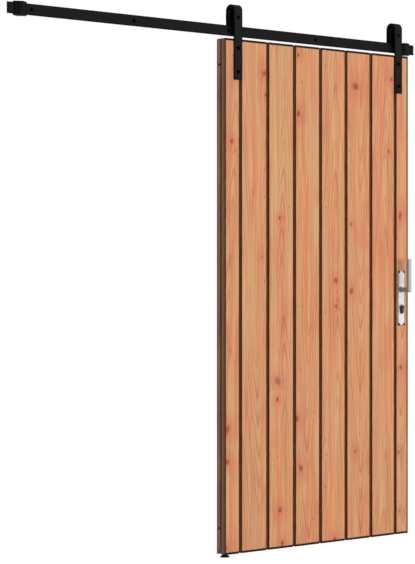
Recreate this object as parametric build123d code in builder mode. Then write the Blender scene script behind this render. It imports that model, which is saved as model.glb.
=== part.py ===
"""Sliding barn door of vertical channel boards on a braced timber frame.

It hangs from two bent steel straps whose grooved rollers run on a flat steel rail.
The rail stands off the wall on tube spacers and has a stop block near each end.
Millimetres. The wall is the plane Y = 0, the door's face looks towards -Y, and Z is up.
The origin is the centre of the middle spacer's wall face. The door is modelled shut.
"""

import os

from build123d import *

# Rail and its wall spacers
rail_length = 2000
rail_height = 40
rail_thickness = 6
rail_hole_count = 5
rail_hole_pitch = 450
rail_hole_d = 11
spacer_length = 40
spacer_d = 25
spacer_bore = 10.4

# End stops, flanged barrels that slide onto the rail
stop_width = 50
stop_rim = 4.5
stop_overhang = 27
stop_wall = 5
stop_barrel_d = 36
stop_edge = 1.5

# Rollers and their axles
roller_d = 70
roller_width = 18
roller_groove_depth = 5.3
roller_side_gap = 1
roller_gap = 0.3
roller_rim = 1.2
roller_recess_depth = 2.5
roller_hub_d = 30
roller_recess_d = 54
axle_d = 12
axle_proud = 1.5
bush_d = 20
running_fit = 0.05

# Hangers, flat bar bent over the rollers
strap_width = 40
strap_thickness = 5
hanger_depth = 50
roller_headroom = 11
back_leg_drop = 27
hanger_inset = 60
roller_to_stop = 32
bolt_drop = 35
bolt_pitch = 90
strap_end_margin = 30

# Bolts that hold the hangers to the door
bolt_d = 8
bolt_fit = 0.2
bolt_head_d = 14
bolt_head_height = 3.5
bolt_head_round = 2
bolt_socket = 5
bolt_socket_depth = 2
bolt_nut_d = 15
bolt_nut_height = 2

# Door leaf
door_width = 980
door_height = 1950
rail_to_door = 11
board_thickness = 26
edge_channel_inset = 74.5
channel_count = 7
channel_width = 12
lip_thickness = 12
lip_lap = 10
lap_gap = 0.5
board_arris = 1.5
frame_thickness = 26
frame_width = 98
frame_arris = 1.5
brace_width = 90

# Floor guide and the channel that runs over it
channel_profile_width = 14
channel_profile_height = 16
channel_profile_wall = 1.5
channel_profile_r = 4
guide_inset = 25
guide_base_d = 36
guide_base_height = 4
guide_hub_d = 24
guide_hub_height = 4
guide_pin_gap = 0.5
guide_pin_reach = 10
guide_stud_d = 6.6
floor_gap = 13

# Lock and lever
lock_inset = 41
spindle_height = 996
cylinder_drop = 72
plate_width = 40
plate_above_spindle = 78
plate_below_spindle = 146
plate_thickness = 3
plate_corner_r = 3
plate_edge = 0.8
lever_d = 19
lever_reach = 45
lever_rise = 124
lever_gap = 0.3
lever_edge = 1
journal_d = 16
spindle_square = 8
spindle_hole_d = 18
follower_hole_d = 12
cylinder_d = 17
cylinder_slot = 10
cylinder_height = 33
cylinder_proud = 9
cylinder_back_proud = 3
cylinder_fit = 0.3
keyway_width = 1.8
keyway_height = 9
keyway_depth = 4
case_thickness = 15
case_height = 165
case_depth = 60
case_above_spindle = 45
case_fit = 0.5
forend_width = 20
forend_height = 235
forend_thickness = 3
forend_above_spindle = 80

# Planes and places that follow from the sizes above
rail_mid_y = -(spacer_length + rail_thickness / 2)
rail_top_z = rail_height / 2
strap_front_y = rail_mid_y - hanger_depth / 2
strap_rear_y = rail_mid_y + hanger_depth / 2
door_front_y = strap_front_y + strap_thickness
frame_front_y = door_front_y + board_thickness
door_back_y = frame_front_y + frame_thickness

rolling_r = roller_d / 2 - roller_groove_depth
axle_z = rail_top_z + roller_gap + rolling_r
hanger_top_z = axle_z + roller_d / 2 + roller_headroom + strap_thickness

door_top_z = -rail_height / 2 - rail_to_door
door_bottom_z = door_top_z - door_height
bolt_zs = (door_top_z - bolt_drop, door_top_z - bolt_drop - bolt_pitch)
strap_end_z = bolt_zs[-1] - strap_end_margin
floor_z = door_bottom_z - floor_gap

stop_inner_x = rail_length / 2 - stop_overhang - stop_width
right_hanger_x = stop_inner_x - roller_to_stop
door_right_x = right_hanger_x + hanger_inset
door_left_x = door_right_x - door_width
left_hanger_x = door_left_x + hanger_inset
door_mid_x = (door_left_x + door_right_x) / 2
door_mid_z = (door_top_z + door_bottom_z) / 2

lock_x = door_right_x - lock_inset
spindle_z = door_bottom_z + spindle_height
cylinder_z = spindle_z - cylinder_drop
guide_x = door_left_x + guide_inset
guide_y = frame_front_y + channel_profile_width / 2

os.makedirs("parts", exist_ok=True)


def save(part, name):
    """Label a finished piece and write it as its own file."""
    part.label = name
    export_step(part, f"parts/{name}.step")


def upright(y):
    """A drawing plane that faces the front at depth y: its x is X and its y is Z."""
    return Plane(origin=(0, y, 0), x_dir=(1, 0, 0), z_dir=(0, -1, 0))


def round_holes(centres, diameter):
    """Circles on the wall plane, to be pushed forward through the pieces they pierce."""
    with BuildSketch(upright(0)) as holes:
        with Locations(*centres):
            Circle(diameter / 2)
    return holes.sketch


def keyhole(y, gap):
    """The lock cylinder's outline at depth y, grown all round by a gap."""
    tail_r = cylinder_slot / 2
    tail_drop = cylinder_height - cylinder_d / 2 - tail_r
    with BuildSketch(upright(y)) as outline:
        with Locations((lock_x, cylinder_z)):
            Circle(cylinder_d / 2 + gap)
        with Locations((lock_x, cylinder_z - tail_drop / 2)):
            Rectangle(cylinder_slot + 2 * gap, tail_drop)
        with Locations((lock_x, cylinder_z - tail_drop)):
            Circle(tail_r + gap)
    return outline.sketch


# Holes that several pieces share, cut from the wall plane to the front of the straps
through = -strap_front_y
hanger_xs = (left_hanger_x, right_hanger_x)
bolt_holes = round_holes([(x, z) for x in hanger_xs for z in bolt_zs], bolt_d + 2 * bolt_fit)
axle_holes = round_holes([(x, axle_z) for x in hanger_xs], axle_d + 2 * running_fit)
cylinder_hole = keyhole(0, cylinder_fit)


# Rail: a flat bar on edge with a row of wall bolt holes
rail_hole_xs = [
    (index - (rail_hole_count - 1) / 2) * rail_hole_pitch for index in range(rail_hole_count)
]
with BuildPart() as rail:
    with BuildSketch(upright(-spacer_length)):
        Rectangle(rail_length, rail_height)
        with Locations(*[(x, 0) for x in rail_hole_xs]):
            Circle(rail_hole_d / 2, mode=Mode.SUBTRACT)
    extrude(amount=rail_thickness)
save(rail.part, "rail")


# Spacers: tubes that hold the rail off the wall
for number, hole_x in enumerate(rail_hole_xs, start=1):
    with BuildPart() as spacer:
        with BuildSketch(upright(0)):
            with Locations((hole_x, 0)):
                Circle(spacer_d / 2)
                Circle(spacer_bore / 2, mode=Mode.SUBTRACT)
        extrude(amount=spacer_length)
    save(spacer.part, f"rail_spacer_{number}")


# End stops: flanged barrels, taller than the rail, with a slot that slides onto it
for side, name in ((-1, "left_end_stop"), (1, "right_end_stop")):
    stop_mid_x = side * (stop_inner_x + stop_width / 2)
    with BuildPart() as stop:
        with BuildSketch(Plane.XY.offset(-rail_height / 2 - stop_rim)) as stop_plan:
            with Locations((stop_mid_x, rail_mid_y)):
                Rectangle(stop_width, rail_thickness + 2 * stop_wall)
                chamfer(stop_plan.vertices(), stop_edge)
                Circle(stop_barrel_d / 2)
        extrude(amount=rail_height + 2 * stop_rim)
        with BuildSketch(Plane.YZ.offset(stop_mid_x)):
            with Locations((rail_mid_y, 0)):
                Rectangle(rail_thickness, rail_height)
        extrude(amount=stop_width, both=True, mode=Mode.SUBTRACT)
    save(stop.part, name)


# Hangers: flat bar that runs up the door's face, in a round arch over the roller and down behind it
def hanger(x):
    leg_end_z = axle_z - back_leg_drop
    arch_z = hanger_top_z - hanger_depth / 2
    rear_inner_y = strap_rear_y - strap_thickness
    with BuildPart() as bent_strap:
        with BuildSketch(Plane.YZ.offset(x)):
            with BuildLine():
                Line((strap_front_y, strap_end_z), (strap_front_y, arch_z))
                ThreePointArc(
                    (strap_front_y, arch_z),
                    (rail_mid_y, hanger_top_z),
                    (strap_rear_y, arch_z),
                )
                Polyline(
                    (strap_rear_y, arch_z),
                    (strap_rear_y, leg_end_z),
                    (rear_inner_y, leg_end_z),
                    (rear_inner_y, arch_z),
                )
                ThreePointArc(
                    (rear_inner_y, arch_z),
                    (rail_mid_y, hanger_top_z - strap_thickness),
                    (door_front_y, arch_z),
                )
                Polyline(
                    (door_front_y, arch_z),
                    (door_front_y, strap_end_z),
                    (strap_front_y, strap_end_z),
                )
            make_face()
        extrude(amount=strap_width / 2, both=True)
        extrude(bolt_holes, amount=through, mode=Mode.SUBTRACT)
        extrude(axle_holes, amount=through, mode=Mode.SUBTRACT)
    return bent_strap.part


# Axles: plain pins, peened over on the outside of both legs
def axle(x):
    with BuildPart() as pin:
        with BuildSketch(upright(strap_rear_y + axle_proud)):
            with Locations((x, axle_z)):
                Circle(axle_d / 2)
        extrude(amount=hanger_depth + 2 * axle_proud)
        chamfer(pin.edges().filter_by(GeomType.CIRCLE), axle_proud / 2)
    return pin.part


# Bushes: tubes on the axle that keep the roller in the middle of the arch
def bushes(x):
    leg_gap = hanger_depth - 2 * strap_thickness
    bush_length = (leg_gap - roller_width) / 2 - roller_gap
    with BuildPart() as pair:
        for start_y in (rail_mid_y + leg_gap / 2, rail_mid_y - leg_gap / 2 + bush_length):
            with BuildSketch(upright(start_y)):
                with Locations((x, axle_z)):
                    Circle(bush_d / 2)
                    Circle(axle_d / 2 + running_fit, mode=Mode.SUBTRACT)
            extrude(amount=bush_length)
    return pair.part


# Rollers: turned wheels with a groove that straddles the rail and a recess in each side
def roller(x):
    outer_r = roller_d / 2
    bore_r = axle_d / 2 + running_fit
    groove_width = rail_thickness + 2 * roller_side_gap
    recess_r = (roller_hub_d + roller_recess_d) / 4
    recess_width = (roller_recess_d - roller_hub_d) / 2
    recess_y = (roller_width - roller_recess_depth) / 2
    middle = Plane(origin=(x, rail_mid_y, axle_z), x_dir=(0, 0, 1), z_dir=(1, 0, 0))
    with BuildPart() as wheel:
        with BuildSketch(middle) as section:
            with Locations(((bore_r + outer_r) / 2, 0)):
                Rectangle(outer_r - bore_r, roller_width)
            chamfer(section.vertices().group_by(Axis.X)[-1], roller_rim)
            with Locations((outer_r - roller_groove_depth / 2, 0)):
                Rectangle(roller_groove_depth, groove_width, mode=Mode.SUBTRACT)
            with Locations((recess_r, recess_y), (recess_r, -recess_y)):
                Rectangle(recess_width, roller_recess_depth, mode=Mode.SUBTRACT)
        revolve(axis=Axis((x, rail_mid_y, axle_z), (0, 1, 0)))
    return wheel.part


# Hanger bolts: socket button heads in front, flat sleeve nuts behind
def hanger_bolts(x):
    with BuildPart() as bolts:
        with BuildSketch(upright(door_back_y + bolt_nut_height)):
            with Locations(*[(x, z) for z in bolt_zs]):
                Circle(bolt_nut_d / 2)
        extrude(amount=bolt_nut_height)
        with BuildSketch(upright(door_back_y)):
            with Locations(*[(x, z) for z in bolt_zs]):
                Circle(bolt_d / 2)
        extrude(amount=door_back_y - strap_front_y)
        with BuildSketch(upright(strap_front_y)):
            with Locations(*[(x, z) for z in bolt_zs]):
                Circle(bolt_head_d / 2)
        extrude(amount=bolt_head_height)
        fillet(bolts.edges().filter_by(GeomType.CIRCLE).group_by(Axis.Y)[0], bolt_head_round)
        with BuildSketch(upright(strap_front_y - bolt_head_height)):
            with Locations(*[(x, z) for z in bolt_zs]):
                RegularPolygon(bolt_socket / 2, 6, major_radius=False)
        extrude(amount=-bolt_socket_depth, mode=Mode.SUBTRACT)
    return bolts.part


for hanger_x, side in ((left_hanger_x, "left"), (right_hanger_x, "right")):
    save(hanger(hanger_x), f"{side}_hanger")
    save(axle(hanger_x), f"{side}_axle")
    save(bushes(hanger_x), f"{side}_bushes")
    save(roller(hanger_x), f"{side}_roller")
    save(hanger_bolts(hanger_x), f"{side}_hanger_bolts")


# Boards: each has a lip behind its right edge that laps under the next board's left edge
board_pitch = (door_width - 2 * edge_channel_inset) / (channel_count - 1)
first_channel_x = door_left_x + edge_channel_inset
channel_xs = [first_channel_x + index * board_pitch for index in range(channel_count)]
face_starts = [door_left_x] + [x + channel_width / 2 for x in channel_xs]
face_ends = [x - channel_width / 2 for x in channel_xs] + [door_right_x]
lip_front_y = frame_front_y - lip_thickness
rebate_front_y = lip_front_y - lap_gap
for number, (start, end) in enumerate(zip(face_starts, face_ends), start=1):
    is_first = number == 1
    is_last = number == channel_count + 1
    with BuildPart() as board:
        with BuildSketch(Plane.XY.offset(door_bottom_z)) as board_plan:
            with Locations(((start + end) / 2, (door_front_y + frame_front_y) / 2)):
                Rectangle(end - start, board_thickness)
            chamfer(board_plan.vertices().group_by(Axis.Y)[0], board_arris)
            if not is_first:
                rebate = lip_lap + lap_gap
                with Locations((start + rebate / 2, (rebate_front_y + frame_front_y) / 2)):
                    Rectangle(rebate, frame_front_y - rebate_front_y, mode=Mode.SUBTRACT)
            if not is_last:
                lip_reach = channel_width + lip_lap
                with Locations((end + lip_reach / 2, (lip_front_y + frame_front_y) / 2)):
                    Rectangle(lip_reach, lip_thickness)
        extrude(amount=door_height)
        extrude(bolt_holes, amount=through, mode=Mode.SUBTRACT)
        if is_last:
            spindle_hole = round_holes([(lock_x, spindle_z)], spindle_hole_d)
            extrude(spindle_hole, amount=through, mode=Mode.SUBTRACT)
            extrude(cylinder_hole, amount=through, mode=Mode.SUBTRACT)
    save(board.part, f"board_{number}")


# Back frame: full-width rails at top and bottom, stiles and a middle rail between them.
# Each member has eased edges, so its joints and its seam with the boards show as fine grooves.
stile_length = door_height - 2 * frame_width
panel_width = door_width - 2 * frame_width
panel_height = (stile_length - frame_width) / 2
panel_step = (panel_height + frame_width) / 2

with BuildPart() as top_rail:
    with BuildSketch(upright(door_back_y)):
        with Locations((door_mid_x, door_top_z - frame_width / 2)):
            Rectangle(door_width, frame_width)
    extrude(amount=frame_thickness)
    chamfer(top_rail.edges(), frame_arris)
    extrude(bolt_holes, amount=through, mode=Mode.SUBTRACT)
save(top_rail.part, "top_rail")

with BuildPart() as middle_rail:
    with BuildSketch(upright(door_back_y)):
        with Locations((door_mid_x, door_mid_z)):
            Rectangle(panel_width, frame_width)
    extrude(amount=frame_thickness)
    chamfer(middle_rail.edges(), frame_arris)
save(middle_rail.part, "middle_rail")

# The bottom rail is rebated behind the boards for the guide channel, round-cornered like it
channel_mid_z = door_bottom_z + channel_profile_height / 2
with BuildPart() as bottom_rail:
    with BuildSketch(Plane.YZ.offset(door_left_x)):
        with Locations(((frame_front_y + door_back_y) / 2, door_bottom_z + frame_width / 2)):
            Rectangle(frame_thickness, frame_width)
    extrude(amount=door_width)
    chamfer(bottom_rail.edges(), frame_arris)
    with BuildSketch(Plane.YZ.offset(door_left_x)):
        with Locations((guide_y, channel_mid_z)):
            Rectangle(channel_profile_width, channel_profile_height)
    extrude(amount=door_width, mode=Mode.SUBTRACT)
save(bottom_rail.part, "bottom_rail")

with BuildPart() as guide_channel:
    with BuildSketch(Plane.YZ.offset(door_left_x)) as channel_section:
        with Locations((guide_y, channel_mid_z)):
            Rectangle(channel_profile_width, channel_profile_height)
        fillet(channel_section.vertices().group_by(Axis.Y)[-1], channel_profile_r)
        inner_width = channel_profile_width - 2 * channel_profile_wall
        inner_height = channel_profile_height - channel_profile_wall
        with BuildSketch(mode=Mode.SUBTRACT) as channel_hollow:
            with Locations((guide_y, door_bottom_z + inner_height / 2)):
                Rectangle(inner_width, inner_height)
            hollow_r = channel_profile_r - channel_profile_wall
            fillet(channel_hollow.vertices().group_by(Axis.Y)[-1], hollow_r)
    extrude(amount=door_width)
save(guide_channel.part, "guide_channel")

with BuildPart() as left_stile:
    with BuildSketch(upright(door_back_y)):
        with Locations((door_left_x + frame_width / 2, door_mid_z)):
            Rectangle(frame_width, stile_length)
    extrude(amount=frame_thickness)
    chamfer(left_stile.edges(), frame_arris)
    extrude(bolt_holes, amount=through, mode=Mode.SUBTRACT)
save(left_stile.part, "left_stile")

# The lock stile is mortised from its edge for the lock case and its forend
case_mid_y = (frame_front_y + door_back_y) / 2
case_mid_z = spindle_z + case_above_spindle - case_height / 2
forend_mid_z = spindle_z + forend_above_spindle - forend_height / 2
case_back_x = door_right_x - forend_thickness - case_depth
with BuildPart() as right_stile:
    with BuildSketch(upright(door_back_y)):
        with Locations((door_right_x - frame_width / 2, door_mid_z)):
            Rectangle(frame_width, stile_length)
    extrude(amount=frame_thickness)
    chamfer(right_stile.edges(), frame_arris)
    extrude(bolt_holes, amount=through, mode=Mode.SUBTRACT)
    extrude(cylinder_hole, amount=through, mode=Mode.SUBTRACT)
    with BuildSketch(Plane.YZ.offset(door_right_x)):
        with Locations((case_mid_y, forend_mid_z)):
            Rectangle(forend_width + case_fit, forend_height + case_fit)
    extrude(amount=-forend_thickness, mode=Mode.SUBTRACT)
    with BuildSketch(Plane.YZ.offset(door_right_x)):
        with Locations((case_mid_y, case_mid_z)):
            Rectangle(case_thickness + case_fit, case_height + case_fit)
    extrude(amount=-(forend_thickness + case_depth + case_fit), mode=Mode.SUBTRACT)
    with BuildSketch(upright(case_mid_y)):
        with Locations((lock_x, spindle_z)):
            Circle(spindle_hole_d / 2)
    extrude(amount=frame_thickness, mode=Mode.SUBTRACT)
save(right_stile.part, "right_stile")

# Braces: boards laid corner to corner in each panel, trimmed to fit
for name, panel_mid_z, lean in (
    ("upper_brace", door_mid_z + panel_step, 1),
    ("lower_brace", door_mid_z - panel_step, -1),
):
    panel_span = Vector(panel_width, lean * panel_height)
    brace_angle = Vector(1, 0).get_signed_angle(panel_span)
    with BuildPart() as brace:
        with BuildSketch(upright(door_back_y)):
            with Locations((door_mid_x, panel_mid_z)):
                Rectangle(2 * panel_span.length, brace_width, rotation=brace_angle)
                Rectangle(panel_width, panel_height, mode=Mode.INTERSECT)
        extrude(amount=frame_thickness)
        chamfer(brace.edges(), frame_arris)
    save(brace.part, name)


# Lock plates: long plates on both faces; only the front one carries the lever
plate_height = plate_above_spindle + plate_below_spindle
plate_mid_z = spindle_z + plate_above_spindle - plate_height / 2
journal_hole = round_holes([(lock_x, spindle_z)], journal_d + 2 * running_fit)
for name, plate_y, outer_face in (
    ("lock_plate", door_front_y, 0),
    ("back_lock_plate", door_back_y + plate_thickness, -1),
):
    with BuildPart() as plate:
        with BuildSketch(upright(plate_y)):
            with Locations((lock_x, plate_mid_z)):
                RectangleRounded(plate_width, plate_height, plate_corner_r)
        extrude(amount=plate_thickness)
        chamfer(plate.faces().sort_by(Axis.Y)[outer_face].edges(), plate_edge)
        extrude(cylinder_hole, amount=through, mode=Mode.SUBTRACT)
        if name == "lock_plate":
            extrude(journal_hole, amount=through, mode=Mode.SUBTRACT)
    save(plate.part, name)

# Lock cylinder: keyhole-shaped body through the door, with a keyway in each end
cylinder_front_y = door_front_y - plate_thickness - cylinder_proud
cylinder_back_y = door_back_y + plate_thickness + cylinder_back_proud
with BuildPart() as lock_cylinder:
    extrude(keyhole(cylinder_back_y, 0), amount=cylinder_back_y - cylinder_front_y)
    for keyway_y in (cylinder_front_y + keyway_depth, cylinder_back_y):
        with BuildSketch(upright(keyway_y)):
            with Locations((lock_x, cylinder_z)):
                Rectangle(keyway_width, keyway_height)
        extrude(amount=keyway_depth, mode=Mode.SUBTRACT)
save(lock_cylinder.part, "lock_cylinder")

# Lock case: the mortised box and the forend that shows in the door's edge
follower_hole = round_holes([(lock_x, spindle_z)], follower_hole_d)
with BuildPart() as lock_case:
    with BuildSketch(Plane.YZ.offset(door_right_x)):
        with Locations((case_mid_y, forend_mid_z)):
            Rectangle(forend_width, forend_height)
    extrude(amount=-forend_thickness)
    with BuildSketch(Plane.YZ.offset(case_back_x)):
        with Locations((case_mid_y, case_mid_z)):
            Rectangle(case_thickness, case_height)
    extrude(amount=case_depth)
    extrude(follower_hole, amount=through, mode=Mode.SUBTRACT)
    extrude(cylinder_hole, amount=through, mode=Mode.SUBTRACT)
save(lock_case.part, "lock_case")

# Lever: a mitred L of round bar that stands upright, on a journal and a square spindle
neck_start_y = door_front_y - plate_thickness - lever_gap
grip_y = door_front_y - lever_reach
with BuildPart() as lever:
    with BuildLine() as lever_line:
        Polyline(
            (lock_x, neck_start_y, spindle_z),
            (lock_x, grip_y, spindle_z),
            (lock_x, grip_y, spindle_z + lever_rise),
        )
    with BuildSketch(upright(neck_start_y)):
        with Locations((lock_x, spindle_z)):
            Circle(lever_d / 2)
    sweep(path=lever_line.line, transition=Transition.RIGHT)
    fillet(lever.faces().sort_by(Axis.Z)[-1].edges(), lever_edge)
    with BuildSketch(upright(door_front_y)):
        with Locations((lock_x, spindle_z)):
            Circle(journal_d / 2)
    extrude(amount=plate_thickness + lever_gap)
    with BuildSketch(upright(case_mid_y)):
        with Locations((lock_x, spindle_z)):
            Rectangle(spindle_square, spindle_square)
    extrude(amount=case_mid_y - door_front_y)
save(lever.part, "lever")

# Floor guide: a disc whose hollow pin, held down by a stud, stands in the door's guide channel
guide_pin_d = channel_profile_width - 2 * channel_profile_wall - 2 * guide_pin_gap
with BuildPart() as floor_guide:
    for step_d, step_height in (
        (guide_base_d, guide_base_height),
        (guide_hub_d, guide_base_height + guide_hub_height),
        (guide_pin_d, floor_gap + guide_pin_reach),
    ):
        with BuildSketch(Plane.XY.offset(floor_z)):
            with Locations((guide_x, guide_y)):
                Circle(step_d / 2)
        extrude(amount=step_height)
    with BuildSketch(Plane.XY.offset(floor_z)):
        with Locations((guide_x, guide_y)):
            Circle(guide_stud_d / 2)
    extrude(amount=floor_gap + guide_pin_reach, mode=Mode.SUBTRACT)
save(floor_guide.part, "floor_guide")
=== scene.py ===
"""Looks of the boarded sliding door: planed timber, black coated steel, a stainless lock, a plain studio."""

import math

import bmesh
import bpy
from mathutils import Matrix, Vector


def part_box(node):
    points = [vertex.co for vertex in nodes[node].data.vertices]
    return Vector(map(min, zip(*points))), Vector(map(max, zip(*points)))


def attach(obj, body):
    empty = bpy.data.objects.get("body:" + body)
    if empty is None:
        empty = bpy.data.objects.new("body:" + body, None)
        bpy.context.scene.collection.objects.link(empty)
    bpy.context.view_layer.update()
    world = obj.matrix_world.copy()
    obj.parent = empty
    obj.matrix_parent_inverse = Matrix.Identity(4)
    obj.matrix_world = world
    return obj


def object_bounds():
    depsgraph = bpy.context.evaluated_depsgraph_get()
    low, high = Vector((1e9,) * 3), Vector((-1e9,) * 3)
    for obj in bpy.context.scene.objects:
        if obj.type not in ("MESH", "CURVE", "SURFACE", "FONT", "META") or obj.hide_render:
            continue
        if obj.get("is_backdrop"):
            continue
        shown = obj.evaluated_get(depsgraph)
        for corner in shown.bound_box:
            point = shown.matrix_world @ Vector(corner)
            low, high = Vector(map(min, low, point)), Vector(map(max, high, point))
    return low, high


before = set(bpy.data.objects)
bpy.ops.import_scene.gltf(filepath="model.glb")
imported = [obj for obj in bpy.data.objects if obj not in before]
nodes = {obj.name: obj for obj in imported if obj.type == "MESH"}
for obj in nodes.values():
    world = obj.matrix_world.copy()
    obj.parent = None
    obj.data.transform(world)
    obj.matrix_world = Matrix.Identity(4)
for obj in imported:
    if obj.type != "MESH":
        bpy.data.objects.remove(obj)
cad_low, cad_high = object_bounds()


# Rail, wall spacers and end stops: flat bar, tube and flanged barrels, powder coated satin black.
# The coat has a fine orange peel and a little cloudiness in its gloss, and its edges are painted darker as
# shade.
def feed(tree, node, inputs):
    """Link each input that is given as a socket, and set each that is given as a value."""
    for socket, value in inputs.items():
        if isinstance(value, bpy.types.NodeSocket):
            tree.links.new(value, node.inputs[socket])
        else:
            node.inputs[socket].default_value = value


def add(tree, kind, inputs, **settings):
    """Add a shader node with its settings, then feed its inputs."""
    node = tree.nodes.new("ShaderNode" + kind)
    for setting, value in settings.items():
        setattr(node, setting, value)
    feed(tree, node, inputs)
    return node


def new_group(name, inputs, outputs):
    """Start a shader node group with named sockets; gives its tree, its inputs and its output node."""
    tree = bpy.data.node_groups.new(name, "ShaderNodeTree")
    for direction, sockets in (("INPUT", inputs), ("OUTPUT", outputs)):
        for socket, kind in sockets.items():
            tree.interface.new_socket(socket, in_out=direction, socket_type="NodeSocket" + kind)
    given = tree.nodes.new("NodeGroupInput").outputs
    return tree, given, tree.nodes.new("NodeGroupOutput")


def new_finish(name, pieces, plain):
    """Make a material for some pieces, with plain values on its shader; gives its tree and shader."""
    material = bpy.data.materials.new(name)
    material.use_nodes = True
    shader = material.node_tree.nodes["Principled BSDF"]
    feed(material.node_tree, shader, plain)
    for piece in pieces:
        piece.data.materials.clear()
        piece.data.materials.append(material)
    return material.node_tree, shader


def reckon(tree, operation, *values):
    """A sum on sockets or numbers."""
    return add(tree, "Math", dict(enumerate(values)), operation=operation).outputs["Value"]


def span(tree, value, low, high, to_low=0.0, to_high=1.0):
    """A value taken from one span to another and kept within it."""
    inputs = {"Value": value, "From Min": low, "From Max": high, "To Min": to_low, "To Max": to_high}
    return add(tree, "MapRange", inputs).outputs["Result"]


def mix(tree, factor, under, over, blend="MIX"):
    """One colour laid over another by a factor."""
    inputs = {"Factor": factor, "A": under, "B": over}
    return add(tree, "Mix", inputs, data_type="RGBA", blend_type=blend).outputs["Result"]


def noise(tree, vector, cells_per_metre, detail):
    """Noise with its own number of cells to the metre along each axis."""
    cells = add(tree, "VectorMath", {0: vector, 1: cells_per_metre}, operation="MULTIPLY")
    inputs = {"Vector": cells.outputs["Vector"], "Scale": 1, "Detail": detail}
    return add(tree, "TexNoise", inputs).outputs["Fac"]


def vary(tree, pattern, to_low, to_high):
    """A noise pattern, most of which lies from 0.3 to 0.7, spread over another span."""
    return span(tree, pattern, 0.3, 0.7, to_low, to_high)


soft_edge, given, result = new_group(
    "soft_edge", {"Radius": "Float", "Band": "Float"}, {"Normal": "Vector", "Edge": "Float"}
)
rounded = add(soft_edge, "Bevel", {"Radius": given["Radius"]}, samples=4)
banded = add(soft_edge, "Bevel", {"Radius": given["Band"]}, samples=6)
flat = add(soft_edge, "NewGeometry", {})
turned = add(
    soft_edge,
    "VectorMath",
    {0: banded.outputs["Normal"], 1: flat.outputs["Normal"]},
    operation="DOT_PRODUCT",
)
flat_cosine = 0.997
edge_cosine = 0.93
edge = span(soft_edge, turned.outputs["Value"], flat_cosine, edge_cosine)
feed(soft_edge, result, {"Normal": rounded.outputs["Normal"], "Edge": edge})

powder_coat, given, result = new_group(
    "powder_coat",
    {"Colour": "Color", "Band": "Float"},
    {"Colour": "Color", "Roughness": "Float", "Normal": "Vector"},
)
place = add(powder_coat, "TexCoord", {}).outputs["Object"]
rounding = add(powder_coat, "Group", {}, node_tree=soft_edge)
feed(powder_coat, rounding, {"Radius": 0.0012, "Band": given["Band"]})
peel = noise(powder_coat, place, (900, 900, 900), 2)
cloud = noise(powder_coat, place, (14, 14, 14), 5)
peel_bump = add(
    powder_coat,
    "Bump",
    {"Height": peel, "Normal": rounding.outputs["Normal"], "Strength": 0.12, "Distance": 0.0004},
)
clouded = mix(powder_coat, 1, given["Colour"], vary(powder_coat, cloud, 0.85, 1.15), "MULTIPLY")
# Painted shade: the coat is darkened towards black along its edges.
edge_shade_share = reckon(powder_coat, "MULTIPLY", rounding.outputs["Edge"], 0.85)
shade_edged = mix(powder_coat, edge_shade_share, clouded, (0.0005, 0.0005, 0.0005, 1))
feed(
    powder_coat,
    result,
    {
        "Colour": shade_edged,
        "Roughness": vary(powder_coat, cloud, 0.45, 0.62),
        "Normal": peel_bump.outputs["Normal"],
    },
)


def coat_black(name, pieces, colour, band, gloss):
    """Coat some pieces in black, with a plain gloss level."""
    tree, shader = new_finish(name, pieces, {"Specular IOR Level": gloss})
    coat = add(tree, "Group", {}, node_tree=powder_coat)
    feed(tree, coat, {"Colour": colour, "Band": band})
    feed(
        tree,
        shader,
        {
            "Base Color": coat.outputs["Colour"],
            "Roughness": coat.outputs["Roughness"],
            "Normal": coat.outputs["Normal"],
        },
    )


spacers = [nodes[name] for name in nodes if name.startswith("rail_spacer_")]
stops = [nodes["left_end_stop"], nodes["right_end_stop"]]
coat_black("rail_black", [nodes["rail"]], colour=(0.0106, 0.0106, 0.0110, 1), band=0.009, gloss=0.03)
coat_black("stop_black", stops + spacers, colour=(0.0090, 0.0090, 0.0095, 1), band=0.006, gloss=0.03)


# Hangers: flat bar bent over each roller in a round arch and coated like the rail.
# Button-head bolts hold the straps through the door, and peened axles carry the bushes and rollers.
hangers = [nodes["left_hanger"], nodes["right_hanger"]]
pin_kinds = ("hanger_bolts", "axle", "bushes")
pins = [nodes[f"{side}_{kind}"] for side in ("left", "right") for kind in pin_kinds]
coat_black("hanger_black", hangers, colour=(0.0136, 0.0134, 0.0140, 1), band=0.011, gloss=0.03)
coat_black("bolt_black", pins, colour=(0.0005, 0.0005, 0.0005, 1), band=0.002, gloss=0.01)


# Rollers and floor guide: black nylon turned on a lathe, with faint rings and a dull sheen.
# The rollers turn on the axles in their hangers, and a stud holds the guide's disc to the floor.
def nylon_black(name, piece, axis_point, axis_mask):
    """Give a turned nylon piece lathe rings about its own axis."""
    tree, shader = new_finish(name, [piece], {"Specular IOR Level": 0.04})
    place = add(tree, "TexCoord", {}).outputs["Object"]
    centred = add(tree, "VectorMath", {0: place, 1: axis_point}, operation="SUBTRACT")
    across = add(tree, "VectorMath", {0: centred.outputs["Vector"], 1: axis_mask}, operation="MULTIPLY")
    radius = add(tree, "VectorMath", {0: across.outputs["Vector"]}, operation="LENGTH").outputs["Value"]
    ring_radians_per_metre = 9000
    rings = reckon(tree, "SINE", reckon(tree, "MULTIPLY", radius, ring_radians_per_metre))
    mottle = noise(tree, place, (70, 70, 70), 4)
    rounding = add(tree, "Group", {}, node_tree=soft_edge)
    feed(tree, rounding, {"Radius": 0.001, "Band": 0.002})
    turned = add(
        tree,
        "Bump",
        {"Height": rings, "Normal": rounding.outputs["Normal"], "Strength": 0.1, "Distance": 0.0001},
    )
    worn = mix(tree, rounding.outputs["Edge"], (0.0010, 0.0010, 0.0011, 1), (0.0030, 0.0030, 0.0031, 1))
    feed(
        tree,
        shader,
        {
            "Base Color": mix(tree, 1, worn, vary(tree, mottle, 0.7, 1.3), "MULTIPLY"),
            "Roughness": vary(tree, mottle, 0.36, 0.52),
            "Normal": turned.outputs["Normal"],
        },
    )


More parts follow.
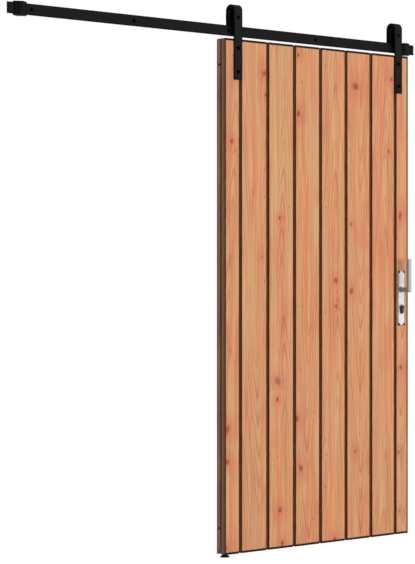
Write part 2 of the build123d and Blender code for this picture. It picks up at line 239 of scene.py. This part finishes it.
for name, axis_mask in (("left_roller", (1, 0, 1)), ("right_roller", (1, 0, 1)), ("floor_guide", (1, 1, 0))):
    low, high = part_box(name)
    nylon_black(f"{name}_nylon", nodes[name], (low + high) / 2, axis_mask)


# Boards: planed softwood in tan and salmon streaks, with tall pointed grain and red knots.
# Their edges behind the face are painted darker brown as shade, near-black at the front arris and the back
# joint, and painted near-black shade lines on the arrises lap a few millimetres onto the face at both ends
# and the right rim. They are screwed on from the back.
def scattered(tree, across, along, cell_width, cell_height, share):
    """Distance from points scattered over a face, one to a cell, a mask of those kept, and a chance."""
    columns = reckon(tree, "DIVIDE", across, cell_width)
    rows = reckon(tree, "DIVIDE", along, cell_height)
    grid = add(tree, "CombineXYZ", {"X": columns, "Y": rows}).outputs["Vector"]
    cells = add(tree, "TexVoronoi", {"Vector": grid, "Scale": 1}, voronoi_dimensions="2D")
    chance = add(tree, "SeparateColor", {"Color": cells.outputs["Color"]}).outputs
    kept = reckon(tree, "LESS_THAN", chance["Red"], share)
    return cells.outputs["Distance"], kept, chance["Green"]


def ramp(tree, factor, stops):
    """A run of colours by a factor, through two or more stops of position and colour."""
    node = add(tree, "ValToRGB", {"Fac": factor})
    elements = node.color_ramp.elements
    for element, (position, colour) in zip(elements, (stops[0], stops[-1])):
        element.position = position
        element.color = colour
    for position, colour in stops[1:-1]:
        elements.new(position).color = colour
    return node.outputs["Color"]


timber, given, result = new_group(
    "timber",
    {
        "Vector": "Vector", "Seed": "Float", "Crown": "Float", "Tan": "Color", "Salmon": "Color",
        "Sap": "Color", "Grain": "Color", "Blush": "Color", "Knot": "Color",
    },
    {"Colour": "Color", "Roughness": "Float", "Height": "Float"},
)
seed_step = add(timber, "VectorMath", {0: (0.731, 0.297, 3.913), "Scale": given["Seed"]}, operation="SCALE")
seeded = add(timber, "VectorMath", {0: given["Vector"], 1: seed_step.outputs["Vector"]}, operation="ADD")
seeded = seeded.outputs["Vector"]
where = add(timber, "SeparateXYZ", {"Vector": given["Vector"]}).outputs
seeded_where = add(timber, "SeparateXYZ", {"Vector": seeded}).outputs

# knots: a dark red heart in a wide blush, and tiny pin knots between them
raggedness = 0.2
ragged = noise(timber, seeded, (60, 60, 30), 2)
ragged = reckon(timber, "MULTIPLY_ADD", ragged, raggedness, -raggedness / 2)
apart, kept, chance = scattered(
    timber, seeded_where["X"], seeded_where["Z"], cell_width=0.135, cell_height=0.17, share=0.33
)
apart = reckon(timber, "MULTIPLY", apart, span(timber, chance, 0, 1, 0.75, 1.9))
apart = reckon(timber, "ADD", apart, ragged)
heart = reckon(timber, "MULTIPLY", kept, span(timber, apart, 0.1, 0.03))
blush = reckon(timber, "MULTIPLY", kept, span(timber, apart, 0.4, 0.04))
pin_apart, pin_kept = scattered(
    timber, seeded_where["X"], seeded_where["Z"], cell_width=0.06, cell_height=0.09, share=0.1
)[:2]
pin = reckon(timber, "MULTIPLY", pin_kept, span(timber, pin_apart, 0.06, 0.025))

# growth rings: slender cones about a pith near the face, so they meet it in tall points
pith_drift = 0.11
pith_ahead = 0.026
ring_spacing = 0.0125
drift = noise(timber, seeded, (0, 0, 0.9), 0)
drift = reckon(timber, "MULTIPLY_ADD", drift, pith_drift, -pith_drift / 2)
from_pith_x = reckon(timber, "ADD", where["X"], drift)
from_pith_y = reckon(timber, "ADD", where["Y"], pith_ahead)
from_pith = add(timber, "CombineXYZ", {"X": from_pith_x, "Y": from_pith_y}).outputs["Vector"]
radius = add(timber, "VectorMath", {0: from_pith}, operation="LENGTH").outputs["Value"]
tapered = reckon(timber, "MULTIPLY_ADD", where["Z"], given["Crown"], radius)
wavy = reckon(timber, "MULTIPLY_ADD", noise(timber, seeded, (12, 12, 3), 2), 0.012, tapered)
pushed = reckon(timber, "MULTIPLY_ADD", blush, 0.011, wavy)
rings = reckon(timber, "DIVIDE", pushed, ring_spacing)
across_ring = reckon(timber, "FRACT", rings)
late_wood = ramp(timber, across_ring, ((0.48, (0, 0, 0, 1)), (0.84, (1, 1, 1, 1)), (1.0, (0, 0, 0, 1))))
ring_number = reckon(timber, "ADD", reckon(timber, "FLOOR", rings), given["Seed"])
ring_chance = add(timber, "TexWhiteNoise", {"W": ring_number}, noise_dimensions="1D").outputs["Value"]
ring_strength = span(timber, ring_chance, 0.15, 0.7)
ring_patch = span(timber, noise(timber, seeded, (9, 9, 1.3), 1), 0.4, 0.55)
ring_line = reckon(timber, "MULTIPLY", late_wood, ring_strength)
ring_line = reckon(timber, "MULTIPLY", ring_line, ring_patch)

# colour: streaks run from tan to salmon with yellow sap between, then rings, blush and knots
streak_wander = 0.03
wander = noise(timber, seeded, (14, 14, 3.2), 1)
wander = reckon(timber, "MULTIPLY_ADD", wander, streak_wander, -streak_wander / 2)
wander = add(timber, "CombineXYZ", {"X": wander}).outputs["Vector"]
wandering = add(timber, "VectorMath", {0: seeded, 1: wander}, operation="ADD").outputs["Vector"]
narrow = noise(timber, wandering, (190, 190, 2.4), 2)
broad = noise(timber, wandering, (36, 36, 0.8), 1)
narrow_share = 0.65
streak = reckon(timber, "MULTIPLY", broad, 1 - narrow_share)
streak = reckon(timber, "MULTIPLY_ADD", narrow, narrow_share, streak)
sappy = span(timber, noise(timber, wandering, (95, 95, 1.6), 1), 0.54, 0.7, 0, 0.7)
shade = span(timber, noise(timber, wandering, (160, 160, 2.6), 1), 0.35, 0.65, 0.90, 1.08)
flush = span(timber, noise(timber, wandering, (20, 20, 5), 2), 0.5, 0.72, 0, 0.45)
fibre = noise(timber, seeded, (800, 800, 16), 3)
colour = mix(timber, span(timber, streak, 0.4, 0.6), given["Tan"], given["Salmon"])
colour = mix(timber, sappy, colour, given["Sap"])
colour = mix(timber, flush, colour, given["Blush"])
colour = mix(timber, reckon(timber, "MULTIPLY", ring_line, 0.75), colour, given["Grain"])
colour = mix(timber, reckon(timber, "MULTIPLY", blush, 0.62), colour, given["Blush"])
colour = mix(timber, reckon(timber, "MULTIPLY", heart, 0.75), colour, given["Knot"])
colour = mix(timber, reckon(timber, "MULTIPLY", pin, 0.7), colour, given["Knot"])
colour = mix(timber, 1, colour, shade, "MULTIPLY")
colour = mix(timber, 1, colour, vary(timber, fibre, 0.94, 1.06), "MULTIPLY")
relief = reckon(timber, "MULTIPLY_ADD", ring_line, 0.4, fibre)
feed(
    timber,
    result,
    {"Colour": colour, "Roughness": vary(timber, fibre, 0.52, 0.72), "Height": relief},
)

arris, given, result = new_group("arris", {"Normal": "Vector", "Edge": "Float"}, {"Mask": "Float"})
squares = add(arris, "VectorMath", {0: given["Normal"], 1: given["Normal"]}, operation="MULTIPLY")
squares = add(arris, "SeparateXYZ", {"Vector": squares.outputs["Vector"]}).outputs
squarest = reckon(arris, "MAXIMUM", squares["X"], reckon(arris, "MAXIMUM", squares["Y"], squares["Z"]))
eased = span(arris, squarest, 0.9, 0.7)
feed(arris, result, {"Mask": reckon(arris, "MAXIMUM", given["Edge"], eased)})

boards = [name for name in nodes if name.startswith("board_")]
door_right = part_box(boards[-1])[1].x
crown_taper = 0.11
face_skin = 0.0003
side_shade_fade = 0.0005
back_skin = 0.0002
facing_front = -0.5
shade_line_lap = 0.0085
lap_blur = 0.1 * shade_line_lap
shade_line_colour = (0.005, 0.003, 0.002, 1)
side_shade_stops = (
    (0.05, (0.012, 0.007, 0.004, 1)),
    (0.14, (0.33, 0.150, 0.064, 1)),
    (0.5, (0.50, 0.245, 0.110, 1)),
    (0.80, (0.66, 0.385, 0.210, 1)),
    (0.90, (0.012, 0.007, 0.004, 1)),
)
for number, name in enumerate(boards, start=1):
    low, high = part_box(name)
    tree, shader = new_finish(f"{name}_wood", [nodes[name]], {"Specular IOR Level": 0.13})
    place = add(tree, "TexCoord", {}).outputs["Object"]
    centred = add(tree, "VectorMath", {0: place, 1: (low + high) / 2}, operation="SUBTRACT")
    grain = add(tree, "Group", {}, node_tree=timber)
    feed(
        tree,
        grain,
        {
            "Vector": centred.outputs["Vector"],
            "Seed": number,
            "Crown": crown_taper if number % 2 else -crown_taper,
            "Tan": (0.700, 0.395, 0.200, 1),
            "Salmon": (0.750, 0.275, 0.126, 1),
            "Sap": (0.665, 0.430, 0.178, 1),
            "Grain": (0.560, 0.165, 0.080, 1),
            "Blush": (0.680, 0.190, 0.115, 1),
            "Knot": (0.270, 0.050, 0.036, 1),
        },
    )
    axes = add(tree, "SeparateXYZ", {"Vector": place}).outputs
    depth = axes["Y"]
    behind_face = span(tree, depth, low.y + face_skin, low.y + face_skin + side_shade_fade)
    before_back = reckon(tree, "LESS_THAN", depth, high.y - back_skin)
    # Painted shade: the sides behind the face darken by depth, to near-black at the front arris and at the
    # back joint.
    side_shade = ramp(tree, span(tree, depth, low.y, high.y), side_shade_stops)
    fibrous = span(tree, grain.outputs["Height"], 0.3, 0.9, 0.8, 1.2)
    side_shaded = mix(tree, 1, side_shade, fibrous, "MULTIPLY")
    on_edge = reckon(tree, "MULTIPLY", behind_face, before_back)
    planed = mix(tree, on_edge, grain.outputs["Colour"], side_shaded)
    rounding = add(tree, "Group", {}, node_tree=soft_edge)
    feed(tree, rounding, {"Radius": 0.0012, "Band": 0.006})
    facet = add(tree, "NewGeometry", {}).outputs["True Normal"]
    arrises = add(tree, "Group", {}, node_tree=arris)
    feed(tree, arrises, {"Normal": facet, "Edge": rounding.outputs["Edge"]})
    from_top = reckon(tree, "SUBTRACT", high.z, axes["Z"])
    from_end = reckon(tree, "MINIMUM", from_top, reckon(tree, "SUBTRACT", axes["Z"], low.z))
    from_rim = reckon(tree, "MINIMUM", from_end, reckon(tree, "SUBTRACT", door_right, axes["X"]))
    faced = add(tree, "SeparateXYZ", {"Vector": facet}).outputs["Y"]
    on_face = reckon(tree, "LESS_THAN", faced, facing_front)
    lapped = span(tree, from_rim, shade_line_lap + lap_blur, shade_line_lap - lap_blur)
    lapped = reckon(tree, "MULTIPLY", on_face, lapped)
    # Painted shade: near-black lines on the arrises and along the face at both ends and the right rim.
    dark = reckon(tree, "MAXIMUM", arrises.outputs["Mask"], lapped)
    bump = add(
        tree,
        "Bump",
        {
            "Height": grain.outputs["Height"],
            "Normal": rounding.outputs["Normal"],
            "Strength": 0.2,
            "Distance": 0.0006,
        },
    )
    feed(
        tree,
        shader,
        {
            "Base Color": mix(tree, dark, planed, shade_line_colour),
            "Roughness": grain.outputs["Roughness"],
            "Normal": bump.outputs["Normal"],
        },
    )


# Back frame: sawn timber of the same kind, browner than the planed boards, butted and screwed.
# Its grain runs along each member, and its eased edges are painted near-black as shade, so the joints show
# as lines.
brace_low, brace_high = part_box("upper_brace")
brace_slope = math.atan2(brace_high.x - brace_low.x, brace_high.z - brace_low.z)
frame_turns = {
    "top_rail": math.pi / 2,
    "middle_rail": math.pi / 2,
    "bottom_rail": math.pi / 2,
    "left_stile": 0,
    "right_stile": 0,
    "upper_brace": -brace_slope,
    "lower_brace": brace_slope,
}
frame_first_seed = len(boards) + 3
for number, (name, turn) in enumerate(frame_turns.items(), start=frame_first_seed):
    low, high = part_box(name)
    tree, shader = new_finish(f"{name}_wood", [nodes[name]], {"Specular IOR Level": 0.2})
    place = add(tree, "TexCoord", {}).outputs["Object"]
    centred = add(tree, "VectorMath", {0: place, 1: (low + high) / 2}, operation="SUBTRACT")
    along = add(
        tree,
        "VectorRotate",
        {"Vector": centred.outputs["Vector"], "Angle": -turn},
        rotation_type="Y_AXIS",
    )
    grain = add(tree, "Group", {}, node_tree=timber)
    feed(
        tree,
        grain,
        {
            "Vector": along.outputs["Vector"],
            "Seed": number,
            "Crown": 0.05,
            "Tan": (0.705, 0.376, 0.263, 1),
            "Salmon": (0.670, 0.302, 0.214, 1),
            "Sap": (0.715, 0.418, 0.285, 1),
            "Grain": (0.330, 0.130, 0.085, 1),
            "Blush": (0.330, 0.110, 0.075, 1),
            "Knot": (0.150, 0.040, 0.028, 1),
        },
    )
    rounding = add(tree, "Group", {}, node_tree=soft_edge)
    feed(tree, rounding, {"Radius": 0.0015, "Band": 0.012})
    facet = add(tree, "NewGeometry", {}).outputs["True Normal"]
    facet = add(tree, "VectorRotate", {"Vector": facet, "Angle": -turn}, rotation_type="Y_AXIS")
    arrises = add(tree, "Group", {}, node_tree=arris)
    feed(tree, arrises, {"Normal": facet.outputs["Vector"], "Edge": rounding.outputs["Edge"]})
    # Painted shade: near-black lines on the eased edges and arrises of each member.
    shade_edged = mix(tree, arrises.outputs["Mask"], grain.outputs["Colour"], (0.008, 0.005, 0.004, 1))
    bump = add(
        tree,
        "Bump",
        {
            "Height": grain.outputs["Height"],
            "Normal": rounding.outputs["Normal"],
            "Strength": 0.4,
            "Distance": 0.0008,
        },
    )
    feed(
        tree,
        shader,
        {
            "Base Color": shade_edged,
            "Roughness": grain.outputs["Roughness"],
            "Normal": bump.outputs["Normal"],
        },
    )


# Screws through the back frame into the boards: dark plated, with raised heads and six-lobed recesses.
# Each inner board has a pair at the top and bottom rails and one or two at the middle rail.
# Each stile has a row into its outer board, with one screw left out beside the lock.
def screw_heads(name, places, facing, head_r):
    """Make one joined mesh of raised screw heads that stand on a face and look one way."""
    sides = 24
    lobes = 6
    turn = Vector((0, 0, 1)).rotation_difference(Vector(facing)).to_matrix()
    # radius, share by which the lobes stand out, and height, from the rim in to the recess's floor
    rings = (
        (head_r, 0, -0.0002),
        (head_r, 0, 0.0003),
        (0.86 * head_r, 0, 0.0009),
        (0.56 * head_r, 0.12, 0.0013),
        (0.50 * head_r, 0.14, 0.0003),
    )
    mesh = bmesh.new()
    for centre in places:
        rows = []
        for radius, lobe, height in rings:
            row = []
            for side in range(sides):
                angle = 2 * math.pi * side / sides
                reach = radius * (1 + lobe * math.cos(lobes * angle))
                point = Vector((reach * math.cos(angle), reach * math.sin(angle), height))
                row.append(mesh.verts.new(Vector(centre) + turn @ point))
            rows.append(row)
        for inner, outer in zip(rows[1:], rows):
            for side in range(sides):
                following = (side + 1) % sides
                mesh.faces.new((outer[side], outer[following], inner[following], inner[side]))
        mesh.faces.new(rows[-1])
        mesh.faces.new(reversed(rows[0]))
    data = bpy.data.meshes.new(name)
    mesh.to_mesh(data)
    mesh.free()
    screws = bpy.data.objects.new(name, data)
    bpy.context.scene.collection.objects.link(screws)
    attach(screws, "door")
    return screws


def plate_dark(name, screws):
    """Dark plated steel with a slight mottle and brighter rims."""
    tree, shader = new_finish(name, [screws], {"Specular IOR Level": 0.03})
    place = add(tree, "TexCoord", {}).outputs["Object"]
    mottle = noise(tree, place, (400, 400, 400), 3)
    rounding = add(tree, "Group", {}, node_tree=soft_edge)
    feed(tree, rounding, {"Radius": 0.0003, "Band": 0.0005})
    rubbed = reckon(tree, "MULTIPLY", rounding.outputs["Edge"], 0.3)
    feed(
        tree,
        shader,
        {
            "Base Color": mix(tree, rubbed, (0.0010, 0.0010, 0.0011, 1), (0.012, 0.012, 0.0125, 1)),
            "Roughness": vary(tree, mottle, 0.3, 0.5),
            "Normal": rounding.outputs["Normal"],
        },
    )


frame_screw_r = 0.0045
frame_back_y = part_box("top_rail")[1].y
screw_pair = 0.035
screw_places = []
for rail_name in ("top_rail", "middle_rail", "bottom_rail"):
    rail_low, rail_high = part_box(rail_name)
    for name in boards[1:-1]:
        low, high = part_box(name)
        for offset in (-screw_pair, screw_pair):
            x = (low.x + high.x) / 2 + offset
            if rail_low.x + screw_pair < x < rail_high.x - screw_pair:
                z = (rail_low.z + rail_high.z) / 2 + offset / 2
                screw_places.append((x, frame_back_y, z))
lock_low, lock_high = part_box("back_lock_plate")
stile_screw_pitch = 0.29
for stile_name, board_name in (("left_stile", boards[0]), ("right_stile", boards[-1])):
    stile_low, stile_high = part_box(stile_name)
    board_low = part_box(board_name)[0]
    x = max(board_low.x, stile_low.x) + screw_pair
    z = stile_high.z - stile_screw_pitch / 2
    while z > stile_low.z:
        beside_lock = stile_name == "right_stile" and lock_low.z - screw_pair < z < lock_high.z + screw_pair
        if not beside_lock:
            screw_places.append((x, frame_back_y, z))
        z -= stile_screw_pitch
plate_dark("frame_screw_dark", screw_heads("frame_screws", screw_places, (0, 1, 0), frame_screw_r))


# Guide channel: an aluminium extrusion with its drawn, unpolished finish, pressed into the bottom rail.
# Fine lines run along it, as they do along the brushed lock pieces below.
drawn_lines, given, result = new_group(
    "drawn_lines",
    {"Cells": "Vector", "Smooth": "Float", "Rough": "Float"},
    {"Roughness": "Float", "Height": "Float", "Smudge": "Float"},
)
place = add(drawn_lines, "TexCoord", {}).outputs["Object"]
lines = noise(drawn_lines, place, given["Cells"], 3)
smudge = noise(drawn_lines, place, (22, 22, 22), 4)
roughened = reckon(drawn_lines, "MULTIPLY_ADD", smudge, 0.5, reckon(drawn_lines, "MULTIPLY", lines, 0.5))
feed(
    drawn_lines,
    result,
    {
        "Roughness": span(drawn_lines, roughened, 0.35, 0.65, given["Smooth"], given["Rough"]),
        "Height": lines,
        "Smudge": vary(drawn_lines, smudge, 0.93, 1.05),
    },
)


def draw_metal(name, pieces, colour, cells, edge_shade_colour, band, smooth=0.3, rough=0.5):
    """Bare metal with lines drawn along it and edges painted darker as shade; gives its shader."""
    tree, shader = new_finish(name, pieces, {"Metallic": 1.0})
    drawn = add(tree, "Group", {}, node_tree=drawn_lines)
    feed(tree, drawn, {"Cells": cells, "Smooth": smooth, "Rough": rough})
    rounding = add(tree, "Group", {}, node_tree=soft_edge)
    feed(tree, rounding, {"Radius": 0.0008, "Band": band})
    bump = add(
        tree,
        "Bump",
        {
            "Height": drawn.outputs["Height"],
            "Normal": rounding.outputs["Normal"],
            "Strength": 0.08,
            "Distance": 0.0002,
        },
    )
    # Painted shade: the edges are darkened towards their darker tone.
    shade_edged = mix(tree, rounding.outputs["Edge"], colour, edge_shade_colour)
    tone = mix(tree, 1, shade_edged, drawn.outputs["Smudge"], "MULTIPLY")
    feed(
        tree,
        shader,
        {"Base Color": tone, "Roughness": drawn.outputs["Roughness"], "Normal": bump.outputs["Normal"]},
    )
    return shader


draw_metal(
    "mill_aluminium",
    [nodes["guide_channel"]],
    colour=(0.36, 0.365, 0.37, 1),
    cells=(4, 900, 900),
    edge_shade_colour=(0.10, 0.10, 0.10, 1),
    band=0.001,
)


# Lock plates, case and forend: stainless steel brushed along its length, with its edges painted darker as
# shade.
# Four dark screws hold each plate at its corners, and two hold the forend in the door's edge.
draw_metal(
    "brushed_stainless",
    [nodes["lock_plate"], nodes["back_lock_plate"], nodes["lock_case"]],
    colour=(0.515, 0.494, 0.490, 1),
    cells=(1600, 1600, 12),
    edge_shade_colour=(0.03, 0.026, 0.022, 1),
    band=0.009,
)
plate_screw_r = 0.005
plate_screw_inset = 0.0058
for name, plate_name, facing in (
    ("plate_screws", "lock_plate", (0, -1, 0)),
    ("back_plate_screws", "back_lock_plate", (0, 1, 0)),
):
    low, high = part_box(plate_name)
    corners = [
        (x, low.y if facing[1] < 0 else high.y, z)
        for x in (low.x + plate_screw_inset, high.x - plate_screw_inset)
        for z in (low.z + plate_screw_inset, high.z - plate_screw_inset)
    ]
    plate_dark(f"{name}_dark", screw_heads(name, corners, facing, plate_screw_r))
low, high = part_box("lock_case")
forend_screw_inset = 0.012
forend_heights = (low.z + forend_screw_inset, high.z - forend_screw_inset)
forend_places = [(high.x, (low.y + high.y) / 2, z) for z in forend_heights]
plate_dark("forend_screws_dark", screw_heads("forend_screws", forend_places, (1, 0, 0), plate_screw_r))


# Lock cylinder: dark nickel plate over brass, a little mottled, with its edges painted darker as shade.
# It passes through the lock case and both plates, and stands a little proud of each plate.
tree, shader = new_finish("dark_nickel", [nodes["lock_cylinder"]], {"Metallic": 1.0})
place = add(tree, "TexCoord", {}).outputs["Object"]
mottle = noise(tree, place, (220, 220, 220), 3)
rounding = add(tree, "Group", {}, node_tree=soft_edge)
feed(tree, rounding, {"Radius": 0.0006, "Band": 0.002})
# Painted shade: the edges are darkened to near-black.
feed(
    tree,
    shader,
    {
        "Base Color": mix(tree, rounding.outputs["Edge"], (0.06, 0.06, 0.058, 1), (0.004, 0.004, 0.004, 1)),
        "Roughness": vary(tree, mottle, 0.28, 0.45),
        "Normal": rounding.outputs["Normal"],
    },
)


# Lever: a mitred L of round stainless bar, brushed dull along the grip and held by its spindle.
# It is duller than the plates, and reflects less towards its rims.
lever_shader = draw_metal(
    "lever_steel",
    [nodes["lever"]],
    colour=(0.356, 0.372, 0.383, 1),
    cells=(1600, 1600, 12),
    edge_shade_colour=(0.02, 0.02, 0.021, 1),
    band=0.003,
    smooth=0.6,
    rough=0.72,
)
lever_shader.inputs["Metallic"].default_value = 0.75
lever_shader.inputs["Specular Tint"].default_value = (0.1, 0.1, 0.1, 1)


# Studio: a pale floor under the guide, and a white surround that looks brighter than it lights.
# The key is a wide low panel in front, clear of the floor, with weaker panels above and behind.
# The camera stands level, turned to the photograph's viewing angle.
def seen_ray(tree):
    """One where the surround is looked at, straight or in a reflection, and nought where it only lights."""
    path = add(tree, "LightPath", {}).outputs
    straight = reckon(tree, "MAXIMUM", path["Is Camera Ray"], path["Is Glossy Ray"])
    return reckon(tree, "MAXIMUM", straight, path["Is Transmission Ray"])


floor_reach = 20
floor_z = cad_low[2]
floor_glow = 0.91
corners = [(-1, -1), (1, -1), (1, 1), (-1, 1)]
floor_mesh = bpy.data.meshes.new("floor")
floor_mesh.from_pydata([(x * floor_reach, y * floor_reach, floor_z) for x, y in corners], [], [(0, 1, 2, 3)])
floor = bpy.data.objects.new("floor", floor_mesh)
bpy.context.scene.collection.objects.link(floor)
tree, shader = new_finish(
    "floor_paint",
    [floor],
    {
        "Base Color": (0.3, 0.3, 0.3, 1),
        "Emission Color": (1, 1, 1, 1),
        "Roughness": 0.9,
        "Specular IOR Level": 0,
    },
)
feed(tree, shader, {"Emission Strength": reckon(tree, "MULTIPLY", seen_ray(tree), floor_glow)})
floor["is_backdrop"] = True

world = bpy.data.worlds.new("studio")
bpy.context.scene.world = world
world.use_nodes = True
tree = world.node_tree
shade = mix(tree, seen_ray(tree), (0.33, 0.333, 0.34, 1), (1, 1, 1, 1))
feed(tree, tree.nodes["Background"], {"Color": shade})

for name, stand, aim, panel, watts in (
    ("key", (1.4, -6.0, -0.85), (0.5, 0, -1.0), (5.5, 2.2), 272),
    ("top", (-0.5, -1.2, 2.6), (-0.5, -1.0, -2.0), (3.0, 3.0), 16),
    ("back", (2.4, 4.6, 1.2), (0.4, 0, -1.0), (4.0, 4.0), 60),
):
    lamp = bpy.data.lights.new(name, "AREA")
    lamp.shape = "RECTANGLE"
    lamp.size, lamp.size_y = panel
    lamp.energy = watts
    lamp_object = bpy.data.objects.new(name, lamp)
    lamp_object.location = stand
    lamp_object.rotation_euler = (Vector(aim) - Vector(stand)).to_track_quat("-Z", "Y").to_euler()
    bpy.context.scene.collection.objects.link(lamp_object)

camera_data = bpy.data.cameras.new("camera")
camera_data.lens = 122.3
camera_data.sensor_width = 36
camera_data.shift_x = 0.0016
camera_data.shift_y = -0.0122
camera = bpy.data.objects.new("camera", camera_data)
camera.location = (-4.6977, -5.5722, -0.9256)
camera.rotation_euler = (math.radians(90), 0, math.radians(-39.715))
bpy.context.scene.collection.objects.link(camera)
bpy.context.scene.camera = camera
bpy.context.scene.view_settings.view_transform = "Standard"

low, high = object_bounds()
